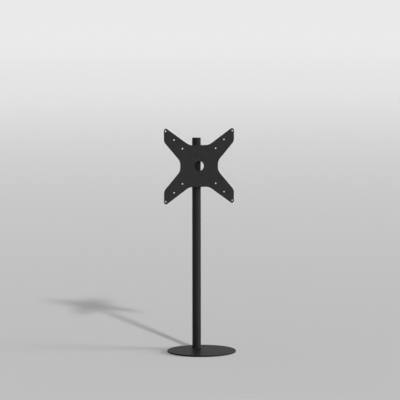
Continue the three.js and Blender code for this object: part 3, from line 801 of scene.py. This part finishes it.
plug_low, plug_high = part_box("foot_plug")
plug_radius = (plug_high.x - plug_low.x) / 2
plug_height = plug_high.z - plug_low.z
plug = rod(plug_radius, 0, plug_height, PLUG_STEPS)
rounded(plug, hard_edges(plug), PLUG_EDGE_ROUND)
placed(plug, moved(pole_axis.x, pole_axis.y, plug_low.z))
plug_holes = []
for node in FOOT_SCREW_NODES:
    hole = rod(FOOT_SCREW_DIAMETER / 2 + FIT, -OVERRUN, plug_height + OVERRUN, HOLE_STEPS)
    plug_holes.append(placed(hole, moved(middle(node).x, middle(node).y, plug_low.z)))
plug = combined(plug, "DIFFERENCE", *plug_holes)
fitted("threaded_plug", plug, zinc_steel, "stand", "zinc_steel", "foot_plug")

low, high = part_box("foot_screw_1")
foot_screw = countersunk_screw(
    FOOT_SCREW_DIAMETER,
    FOOT_SCREW_HEAD,
    high.z - low.z,
    FOOT_SCREW_PITCH,
    FOOT_SCREW_KEY,
    FOOT_SCREW_KEY_DEPTH,
)
for number, node in enumerate(FOOT_SCREW_NODES, 1):
    screw = placed(foot_screw.copy(), moved(middle(node).x, middle(node).y, low.z))
    fitted(f"foot_bolt_{number}", screw, black_steel, "stand", "black_steel", node)

# Guides
# Two cast split rings that clamp on their bushes. The front half is a block with two ears, which the screen
# plate is screwed to, and the rear half is a plain strap with flat seats for the screws' washers.
GUIDE_RING_WALL = 0.0065
GUIDE_SPLIT = 0.003  # gap between the two halves
GUIDE_EDGE_ROUND = 0.0009
SADDLE_FOOT_HALF_WIDTH = 0.026
SADDLE_EAR_THICKNESS = 0.018
SADDLE_NECK_ROUND = 0.0045
SADDLE_FOOT_ROUND = 0.003
SADDLE_SPLIT_ROUND = 0.0015
EAR_ROUND = 0.004
STRAP_EAR_THICKNESS = 0.009
STRAP_NECK_ROUND = 0.002
CORNER_STEPS = 8
RING_STEPS = 72
BORE_STEPS = 160
HOLE_FLARE = 0.0004
CLAMP_SCREW_DIAMETER = 0.006
WASHER_DIAMETER = 0.012
PLATE_SCREW_DIAMETER = 0.006
CAST_DARK = (0.0095, 0.0095, 0.0098, 1)
CAST_LIGHT = (0.0150, 0.0150, 0.0154, 1)
CAST_GRAIN = 1100
CAST_GRAIN_SOFT_SHARE = 0.5
CAST_GRAIN_HEIGHT = 0.00007
CAST_ROUGHNESS = (0.38, 0.50)
CAST_SPECULAR = 0.35

cast_coat = finish(
    "cast_coat",
    CAST_DARK,
    CAST_LIGHT,
    CAST_ROUGHNESS,
    CAST_GRAIN,
    CAST_GRAIN_SOFT_SHARE,
    CAST_GRAIN_HEIGHT,
    Specular_IOR_Level=CAST_SPECULAR,
)

saddle_low, saddle_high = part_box("upper_guide_saddle")
ear_half_width = saddle_high.x
guide_half = (saddle_high.z - saddle_low.z) / 2
guide_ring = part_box("upper_guide_cap")[1].y - pole_axis.y
guide_bore = guide_ring - GUIDE_RING_WALL
saddle_front = pole_axis.y - saddle_low.y
split_half = GUIDE_SPLIT / 2
clamp_seat = split_half + STRAP_EAR_THICKNESS
clamp_x = middle("upper_clamp_screw_right").x
clamp_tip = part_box("upper_clamp_screw_right")[0].y - pole_axis.y
plate_screw_x = middle("upper_plate_screw_right").x
plate_screw_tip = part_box("upper_plate_screw_right")[1].y - pole_axis.y


def rims(bm, low, high):
    """The edges that lie in the lowest or in the highest face."""
    return [
        edge
        for edge in bm.edges
        if any(all(abs(point.co.z - height) < WELD for point in edge.verts) for height in (low, high))
    ]


def pierced(radius, low, high, flare, steps=HOLE_STEPS):
    """The shape of a hole right through on Z whose edges are broken at both faces."""
    wide = radius + flare + OVERRUN
    profile = [
        (0, low - OVERRUN),
        (wide, low - OVERRUN),
        (radius, low + flare),
        (radius, high - flare),
        (wide, high + OVERRUN),
        (0, high + OVERRUN),
    ]
    return turned(profile, steps)


def drilled(radius, bottom, mouth):
    """The shape of a blind hole on Z, with a drill point at its bottom and a broken edge at its mouth."""
    profile = [
        (0, bottom - radius * KEY_POINT_SHARE),
        (radius, bottom),
        (radius, mouth - HOLE_FLARE),
        (radius + HOLE_FLARE + OVERRUN, mouth + OVERRUN),
        (0, mouth + OVERRUN),
    ]
    return turned(profile, HOLE_STEPS)


def guide_saddle():
    """Its outline is drawn on the right from the plate to the split, and then on the left."""
    ear_front = split_half + SADDLE_EAR_THICKNESS
    right = [
        (SADDLE_FOOT_HALF_WIDTH, -saddle_front, SADDLE_FOOT_ROUND),
        (SADDLE_FOOT_HALF_WIDTH, -ear_front, SADDLE_NECK_ROUND),
        (ear_half_width, -ear_front, EAR_ROUND),
        (ear_half_width, -split_half, SADDLE_SPLIT_ROUND),
    ]
    left = [(-x, y, radius) for x, y, radius in reversed(right)]
    body = raised(outlined(right + left, CORNER_STEPS), -guide_half, guide_half)
    rounded(body, rims(body, -guide_half, guide_half), GUIDE_EDGE_ROUND)
    tools = [pierced(guide_bore, -guide_half, guide_half, GUIDE_EDGE_ROUND, BORE_STEPS)]
    for side in (-1, 1):
        hole = drilled(CLAMP_SCREW_DIAMETER / 2 + FIT, clamp_tip - FIT, -split_half)
        tools.append(placed(hole, ALONG_PLUS_Y, moved(side * clamp_x, 0, 0)))
        hole = drilled(PLATE_SCREW_DIAMETER / 2 + FIT, -plate_screw_tip - FIT, saddle_front)
        tools.append(placed(hole, ALONG_MINUS_Y, moved(side * plate_screw_x, 0, 0)))
    return combined(body, "DIFFERENCE", *tools)


def guide_strap():
    """Its outline runs along the right ear, round the neck and over the ring, and is then mirrored."""
    neck = Vector((0, clamp_seat + STRAP_NECK_ROUND, 0))
    neck.x = math.sqrt((guide_ring + STRAP_NECK_ROUND) ** 2 - neck.y**2)
    lean = math.atan2(neck.y, neck.x)
    ear = [(0, split_half, 0), (ear_half_width, split_half, 0), (ear_half_width, clamp_seat, 0)]
    bm = bmesh.new()
    chain = [bm.verts.new(corner) for corner in ear]
    chain += arc(bm, (neck.x, clamp_seat, 0), neck, lean - math.pi / 2, CORNER_STEPS)
    chain += arc(bm, neck.normalized() * guide_ring, (0, 0, 0), math.pi / 2 - lean, RING_STEPS)
    for pair in zip(chain, chain[1:]):
        if not bm.edges.get(pair):
            bm.edges.new(pair)
    bmesh.ops.bevel(
        bm,
        geom=[chain[2]],
        offset=EAR_ROUND,
        segments=CORNER_STEPS,
        profile=0.5,
        affect="VERTICES",
        material=-1,
    )
    bmesh.ops.mirror(bm, geom=bm.verts[:] + bm.edges[:], axis="X", merge_dist=WELD)
    bmesh.ops.remove_doubles(bm, verts=bm.verts, dist=WELD)
    bmesh.ops.contextual_create(bm, geom=bm.edges[:])
    body = raised(bm, -guide_half, guide_half)
    rounded(body, rims(body, -guide_half, guide_half), GUIDE_EDGE_ROUND)
    tools = [pierced(guide_bore, -guide_half, guide_half, GUIDE_EDGE_ROUND, BORE_STEPS)]
    seat = WASHER_DIAMETER / 2 + FIT
    for side in (-1, 1):
        hole = pierced(CLAMP_SCREW_DIAMETER / 2 + FIT, split_half, clamp_seat, HOLE_FLARE)
        tools.append(placed(hole, ALONG_PLUS_Y, moved(side * clamp_x, 0, 0)))
        flat = rod(seat, clamp_seat, guide_ring, HOLE_STEPS)
        tools.append(placed(flat, ALONG_PLUS_Y, moved(side * clamp_x, 0, 0)))
    return combined(body, "DIFFERENCE", *tools)


saddle = guide_saddle()
strap = guide_strap()
for name in ("upper", "lower"):
    place = moved(pole_axis.x, pole_axis.y, middle(f"{name}_guide_saddle").z)
    body = placed(saddle.copy(), place)
    fitted(f"{name}_saddle", body, cast_coat, "mount", "cast_coat", f"{name}_guide_saddle")
    body = placed(strap.copy(), place)
    fitted(f"{name}_strap", body, cast_coat, "mount", "cast_coat", f"{name}_guide_cap")

# Bushes
# A flanged nylon bush in each guide, moulded in dark grey and slit down one side so that it can be sprung
# round the pole. Its flanges keep it in the guide, and the lower one bears on the collar.
BUSH_WALL = 0.0022
BUSH_FLANGE = 0.0015
BUSH_SLIT = 0.003
BUSH_EDGE_ROUND = 0.0004
BUSH_STEPS = 144
NYLON_DARK = (0.026, 0.026, 0.027, 1)
NYLON_LIGHT = (0.036, 0.036, 0.037, 1)
NYLON_GRAIN = 1500
NYLON_GRAIN_SOFT_SHARE = 0.3
NYLON_GRAIN_HEIGHT = 0.000012
NYLON_ROUGHNESS = (0.48, 0.60)

nylon = finish(
    "nylon",
    NYLON_DARK,
    NYLON_LIGHT,
    NYLON_ROUGHNESS,
    NYLON_GRAIN,
    NYLON_GRAIN_SOFT_SHARE,
    NYLON_GRAIN_HEIGHT,
)

running_radius = pole_radius + FIT
for name in ("upper", "lower"):
    low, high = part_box(f"{name}_bush")
    half = (high.z - low.z) / 2
    flange_radius = pole_axis.x - low.x
    outer = running_radius + BUSH_WALL
    section = [
        (running_radius, -half),
        (flange_radius, -half),
        (flange_radius, BUSH_FLANGE - half),
        (outer, BUSH_FLANGE - half),
        (outer, half - BUSH_FLANGE),
        (flange_radius, half - BUSH_FLANGE),
        (flange_radius, half),
        (running_radius, half),
    ]
    slit_turn = math.asin(BUSH_SLIT / 2 / running_radius)
    bm = bmesh.new()
    face = bm.faces.new([bm.verts.new((radius, 0, height)) for radius, height in section])
    placed(bm, Matrix.Rotation(slit_turn, 4, "Z"))
    bmesh.ops.spin(
        bm,
        geom=[face, *face.edges, *face.verts],
        cent=(0, 0, 0),
        axis=(0, 0, 1),
        angle=2 * (math.pi - slit_turn),
        steps=BUSH_STEPS,
    )
    bmesh.ops.recalc_face_normals(bm, faces=bm.faces)
    rounded(bm, hard_edges(bm), BUSH_EDGE_ROUND)
    placed(bm, moved(pole_axis.x, pole_axis.y, (low.z + high.z) / 2))
    fitted(f"{name}_slide_bush", bm, nylon, "mount", "nylon", f"{name}_bush")

# Clamp screws and washers
# Black socket-head screws that close each guide on its bush. Their heads are knurled round the side and
# pressed on plain steel washers.
CLAMP_SCREW_PITCH = 0.001
CLAMP_SCREW_HEAD = 0.010
CLAMP_SCREW_HEAD_HEIGHT = 0.006
CLAMP_SCREW_KEY = 0.005
CLAMP_SCREW_KEY_DEPTH = 0.003
WASHER_THICKNESS = 0.0016
WASHER_EDGE_ROUND = 0.0002
KNURL_COUNT = 42
KNURL_DEPTH = 0.00014


def socket_screw(diameter, head, head_height, length, pitch, key, key_depth):
    """A screw on Z with its head's seat at zero and its thread towards +Z."""
    bm = bmesh.new()
    bmesh.ops.create_circle(bm, cap_ends=True, radius=head / 2, segments=2 * KNURL_COUNT)
    for number, point in enumerate(bm.verts):
        if number % 2:
            point.co *= 1 - 2 * KNURL_DEPTH / head
    raised(bm, -head_height, 0)
    rounded(bm, rims(bm, -head_height, 0), HEAD_EDGE_ROUND)
    bm = combined(bm, "UNION", threaded(diameter, pitch, -pitch, length))
    return combined(bm, "DIFFERENCE", key_recess(key, -head_height, key_depth))


low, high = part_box("upper_clamp_screw_left")
clamp_face = high.y - CLAMP_SCREW_HEAD_HEIGHT
clamp_screw = socket_screw(
    CLAMP_SCREW_DIAMETER,
    CLAMP_SCREW_HEAD,
    CLAMP_SCREW_HEAD_HEIGHT,
    clamp_face - low.y,
    CLAMP_SCREW_PITCH,
    CLAMP_SCREW_KEY,
    CLAMP_SCREW_KEY_DEPTH,
)
inner, outer = CLAMP_SCREW_DIAMETER / 2 + FIT, WASHER_DIAMETER / 2
washer_profile = [(inner, 0), (outer, 0), (outer, -WASHER_THICKNESS), (inner, -WASHER_THICKNESS)]
washer = turned(washer_profile, HOLE_STEPS, closed=True)
rounded(washer, hard_edges(washer), WASHER_EDGE_ROUND)
for guide in ("upper", "lower"):
    for side in ("left", "right"):
        node = f"{guide}_clamp_screw_{side}"
        place = moved(middle(node).x, clamp_face, middle(node).z)
        screw = placed(clamp_screw.copy(), ALONG_MINUS_Y, place)
        fitted(f"{guide}_clamp_bolt_{side}", screw, black_steel, "mount", "black_steel", node)
        ring = placed(washer.copy(), ALONG_PLUS_Y, place)
        node = f"{guide}_washer_{side}"
        fitted(f"{guide}_flat_washer_{side}", ring, black_steel, "mount", "black_steel", node)

# Screen plate
# An X-shaped sheet of 3 mm steel, laser cut, with a large hole for cables at its centre and three screen
# holes along each arm. It is powder coated, which softens its edges, and four screws hold it on the guides.
PLATE_SIDE_MARGIN = 0.010  # from the outermost holes' centres to the side of an arm
PLATE_ARM_MARGIN = 0.0154  # from the outermost holes' centres to the edge of an arm at the notch
PLATE_TIP_ROUND = 0.012
PLATE_SHOULDER_DROP = 0.061
PLATE_SHOULDER_ROUND = 0.042
PLATE_WAIST_HALF_WIDTH = 0.113
PLATE_WAIST_CORNER = 0.028
PLATE_WAIST_ROUND = 0.056
PLATE_NOTCH_HALF_HEIGHT = 0.1195
PLATE_NOTCH_CORNER = 0.059
PLATE_NOTCH_ROUND = 0.062
PLATE_CENTRE_HOLE = 0.056
PLATE_EDGE_ROUND = 0.0005
PLATE_CORNER_STEPS = 20
PLATE_CENTRE_STEPS = 160
SCREEN_HOLE_DIAMETER = 0.0085
SCREEN_HOLE_SPACINGS = (0.200, 0.300, 0.400)
PLATE_SCREW_HEAD = 0.0114

plate_low, plate_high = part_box("screen_plate")
plate_middle = middle("screen_plate")
plate_thickness = plate_high.y - plate_low.y
outermost = plate_high.x - PLATE_SIDE_MARGIN
across = outermost - PLATE_NOTCH_CORNER
up = outermost - PLATE_NOTCH_HALF_HEIGHT
lean = math.atan2(up, across) + math.asin(PLATE_ARM_MARGIN / math.hypot(across, up))
tip = PLATE_NOTCH_HALF_HEIGHT + (plate_high.x - PLATE_NOTCH_CORNER) * math.tan(lean)
quarter = [
    (PLATE_WAIST_HALF_WIDTH, PLATE_WAIST_CORNER, PLATE_WAIST_ROUND),
    (plate_high.x, outermost - PLATE_SHOULDER_DROP, PLATE_SHOULDER_ROUND),
    (plate_high.x, tip, PLATE_TIP_ROUND),
    (PLATE_NOTCH_CORNER, PLATE_NOTCH_HALF_HEIGHT, PLATE_NOTCH_ROUND),
]
corners = []
for sign_x, sign_z in ((1, 1), (-1, 1), (-1, -1), (1, -1)):
    turned_quarter = [(sign_x * x, sign_z * z, radius) for x, z, radius in quarter]
    corners += turned_quarter[:: sign_x * sign_z]
sheet = raised(outlined(corners, PLATE_CORNER_STEPS), 0, plate_thickness)
rounded(sheet, rims(sheet, 0, plate_thickness), PLATE_EDGE_ROUND)
tools = [pierced(PLATE_CENTRE_HOLE / 2, 0, plate_thickness, PLATE_EDGE_ROUND, PLATE_CENTRE_STEPS)]
for spacing in SCREEN_HOLE_SPACINGS:
    for x in (-spacing / 2, spacing / 2):
        for y in (-spacing / 2, spacing / 2):
            hole = pierced(SCREEN_HOLE_DIAMETER / 2, 0, plate_thickness, PLATE_EDGE_ROUND)
            tools.append(placed(hole, moved(x, y, 0)))
for guide in ("upper", "lower"):
    for side in ("left", "right"):
        centre = middle(f"{guide}_plate_screw_{side}")
        hole = countersink(PLATE_SCREW_DIAMETER, PLATE_SCREW_HEAD, plate_thickness + OVERRUN)
        tools.append(placed(hole, moved(centre.x, plate_middle.z - centre.z, 0)))
sheet = combined(sheet, "DIFFERENCE", *tools)
placed(sheet, ALONG_PLUS_Y, moved(plate_middle.x, plate_low.y, plate_middle.z))
fitted("x_plate", sheet, powder_coat, "mount", "powder_coat", "screen_plate")

# Plate screws
# Four black countersunk socket screws, flush with the screen plate's front, threaded into the guides.
# Their cones seat in the plate's countersinks, which keeps the plate in its place.
PLATE_SCREW_PITCH = 0.001
PLATE_SCREW_KEY = 0.004
PLATE_SCREW_KEY_DEPTH = 0.002

low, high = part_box("upper_plate_screw_left")
plate_screw = countersunk_screw(
    PLATE_SCREW_DIAMETER,
    PLATE_SCREW_HEAD,
    high.y - low.y,
    PLATE_SCREW_PITCH,
    PLATE_SCREW_KEY,
    PLATE_SCREW_KEY_DEPTH,
)
for guide in ("upper", "lower"):
    for side in ("left", "right"):
        node = f"{guide}_plate_screw_{side}"
        screw = placed(plate_screw.copy(), ALONG_PLUS_Y, moved(middle(node).x, low.y, middle(node).z))
        fitted(f"{guide}_plate_bolt_{side}", screw, black_steel, "mount", "black_steel", node)

# Height collar
# A cast ring under the lower guide, bored to slide on the pole. The boss at its back holds the brake shoe
# in a pocket, and the knob's stud is screwed in through its end.
COLLAR_EDGE_ROUND = 0.0015
COLLAR_STEPS = 160
BOSS_STEPS = 96
BOSS_STEP = 0.0005  # the boss is this much thinner than the ring, above and below
SHOE_DIAMETER = 0.020
SHOE_TRAVEL = 0.0025
STUD_DIAMETER = 0.008

collar_low, collar_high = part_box("height_collar")
collar_place = moved(pole_axis.x, pole_axis.y, middle("height_collar").z)
collar_half = (collar_high.z - collar_low.z) / 2
collar_radius = pole_axis.x - collar_low.x
boss_end = collar_high.y - pole_axis.y
shoe_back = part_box("brake_shoe")[1].y - pole_axis.y
pocket_end = shoe_back + SHOE_TRAVEL + FIT

ring = rod(collar_radius, -collar_half, collar_half, COLLAR_STEPS)
rounded(ring, hard_edges(ring), COLLAR_EDGE_ROUND)
boss = rod(collar_half - BOSS_STEP, 0, boss_end, BOSS_STEPS)
rounded(boss, [edge for edge in hard_edges(boss) if edge.verts[0].co.z > WELD], COLLAR_EDGE_ROUND)
collar = combined(ring, "UNION", placed(boss, ALONG_PLUS_Y))
bore = pierced(running_radius, -collar_half, collar_half, HOLE_FLARE, COLLAR_STEPS)
pocket = placed(rod(SHOE_DIAMETER / 2 + FIT, 0, pocket_end, HOLE_STEPS), ALONG_PLUS_Y)
stud_hole = placed(pierced(STUD_DIAMETER / 2 + FIT, 0, boss_end, HOLE_FLARE), ALONG_PLUS_Y)
collar = combined(collar, "DIFFERENCE", bore, pocket, stud_hole)
placed(collar, collar_place)
fitted("cast_collar", collar, cast_coat, "collar", "cast_coat", "height_collar")

# Brake shoe
# A nylon block in the collar's pocket. Its face is hollowed to the pole, and the stud's tip turns in the
# socket in its back.
SHOE_SOCKET_DEPTH = 0.003
SHOE_EDGE_ROUND = 0.0004

block = rod(SHOE_DIAMETER / 2, 0, shoe_back, HOLE_STEPS)
rounded(block, hard_edges(block), SHOE_EDGE_ROUND)
socket = drilled(STUD_DIAMETER / 2 + FIT, shoe_back - SHOE_SOCKET_DEPTH, shoe_back)
hollow = rod(running_radius, -SHOE_DIAMETER, SHOE_DIAMETER, COLLAR_STEPS)
shoe = combined(placed(block, ALONG_PLUS_Y), "DIFFERENCE", placed(socket, ALONG_PLUS_Y), hollow)
placed(shoe, collar_place)
fitted("nylon_shoe", shoe, nylon, "shoe", "nylon", "brake_shoe")

# Stud and hand knob
# A zinc-plated threaded stud with a lobed knob of black plastic moulded over its end. The grip is dished on
# its face, with a small cap pressed in, and its hub stands just clear of the collar's boss.
STUD_PITCH = 0.00125
KNOB_DIAMETER = 0.036
KNOB_LOBES = 6
KNOB_LOBE_DEPTH = 0.0024
KNOB_STEPS = 180
KNOB_EDGE_ROUND = 0.0022
KNOB_EDGE_STEPS = 5
KNOB_HUB_DIAMETER = 0.015
KNOB_HUB_FILLET = 0.0015
KNOB_HUB_LENGTH = 0.004
KNOB_DISH_DIAMETER = 0.022
KNOB_DISH_DEPTH = 0.0009
KNOB_DISH_STEPS = 96
KNOB_CAP_DIAMETER = 0.015
KNOB_CAP_HEIGHT = 0.0006

stud_low, stud_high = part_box("knob_stud")
stud = threaded(STUD_DIAMETER, STUD_PITCH, stud_low.y - pole_axis.y, stud_high.y - pole_axis.y)
placed(stud, ALONG_PLUS_Y, collar_place)
fitted("threaded_stud", stud, zinc_steel, "knob", "zinc_steel", "knob_stud")

knob_low, knob_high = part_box("clamp_knob")
hub_face = knob_low.y - pole_axis.y
knob_face = hub_face + KNOB_HUB_LENGTH
knob_top = knob_high.y - pole_axis.y
grip = bmesh.new()
grip_radius = (KNOB_DIAMETER - KNOB_LOBE_DEPTH) / 2
bmesh.ops.create_circle(grip, cap_ends=True, radius=grip_radius, segments=KNOB_STEPS)
for point in grip.verts:
    turn = math.atan2(point.co.y, point.co.x)
    radius = point.co.length + KNOB_LOBE_DEPTH / 2 * math.cos(KNOB_LOBES * turn)
    point.co = (radius * math.cos(turn), radius * math.sin(turn), 0)
raised(grip, knob_face, knob_top)
rounded(grip, rims(grip, knob_face, knob_top), KNOB_EDGE_ROUND, KNOB_EDGE_STEPS)
hub_radius = KNOB_HUB_DIAMETER / 2
root_radius = hub_radius + KNOB_HUB_FILLET
hub_profile = [
    (0, hub_face),
    (hub_radius, hub_face),
    (hub_radius, knob_face - KNOB_HUB_FILLET),
    (root_radius, knob_face + WELD),  # just inside the grip, so that the two join
    (root_radius, knob_face + OVERRUN),
    (0, knob_face + OVERRUN),
]
hub = turned(hub_profile, HOLE_STEPS)
dish_radius, knob_cap_radius = KNOB_DISH_DIAMETER / 2, KNOB_CAP_DIAMETER / 2
dish_floor = knob_top - KNOB_DISH_DEPTH
knob_cap_top = dish_floor + KNOB_CAP_HEIGHT
dish_profile = [
    (0, knob_cap_top),
    (knob_cap_radius - KNOB_CAP_HEIGHT, knob_cap_top),
    (knob_cap_radius, dish_floor),
    (dish_radius, dish_floor),
    (dish_radius + KNOB_DISH_DEPTH + OVERRUN, knob_top + OVERRUN),
    (0, knob_top + OVERRUN),
]
dish = turned(dish_profile, KNOB_DISH_STEPS)
knob_hole = drilled(STUD_DIAMETER / 2 + FIT, -(stud_high.y - pole_axis.y) - FIT, -hub_face)
knob = combined(grip, "UNION", hub)
knob = combined(knob, "DIFFERENCE", dish, placed(knob_hole, Matrix.Rotation(math.pi, 4, "X")))
placed(knob, ALONG_PLUS_Y, collar_place)
fitted("lobed_knob", knob, black_plastic, "knob", "black_plastic", "clamp_knob")
